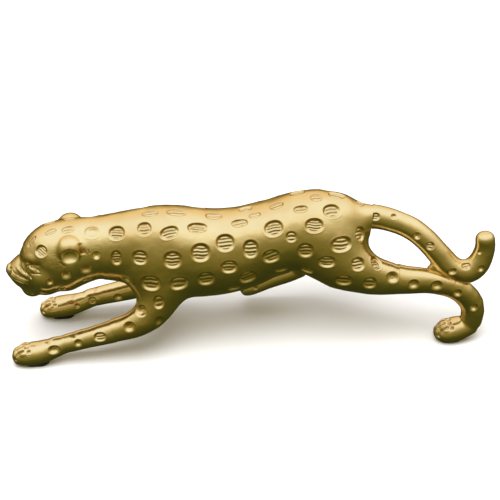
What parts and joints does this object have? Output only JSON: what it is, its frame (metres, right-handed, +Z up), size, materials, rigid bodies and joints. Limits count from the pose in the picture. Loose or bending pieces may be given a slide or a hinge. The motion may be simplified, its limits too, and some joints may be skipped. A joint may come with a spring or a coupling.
{
  "type": "hood ornament",
  "caption": "Cast spotted cat stretched in a low stride, with its tail curled down to a hock and tapped, padded paws for a bonnet.",
  "frame": {"origin": "centre of the figure's bounding box at the pads' undersides, on the bonnet", "axes": "+X along the body from the nose to the tail, +Y to the cat's right, +Z up"},
  "size_m": [0.2443, 0.0518, 0.0794],
  "materials": {
    "gold": "satin gilt over a brass casting, darker in the recesses",
    "brass": "turned, bare",
    "pin": "ground dowel steel",
    "pad": "matt black"
  },
  "bodies": {
    "root": {"torso": "gold", "head": "gold", "left_foreleg": "gold", "right_foreleg": "gold", "left_hind_leg": "gold", "right_hind_leg": "gold", "tail": "gold", "neck_pins": "pin", "left_foreleg_pin": "pin", "right_foreleg_pin": "pin", "left_hind_leg_pin": "pin", "right_hind_leg_pin": "pin", "tail_root_pin": "pin", "tail_rest_dowel": "pin", "core_plugs": "brass", "left_forepaw_insert": "brass", "right_forepaw_insert": "brass", "left_hind_paw_insert": "brass", "left_forepaw_pad": "pad", "right_forepaw_pad": "pad", "left_hind_paw_pad": "pad"}
  },
  "joints": []
}
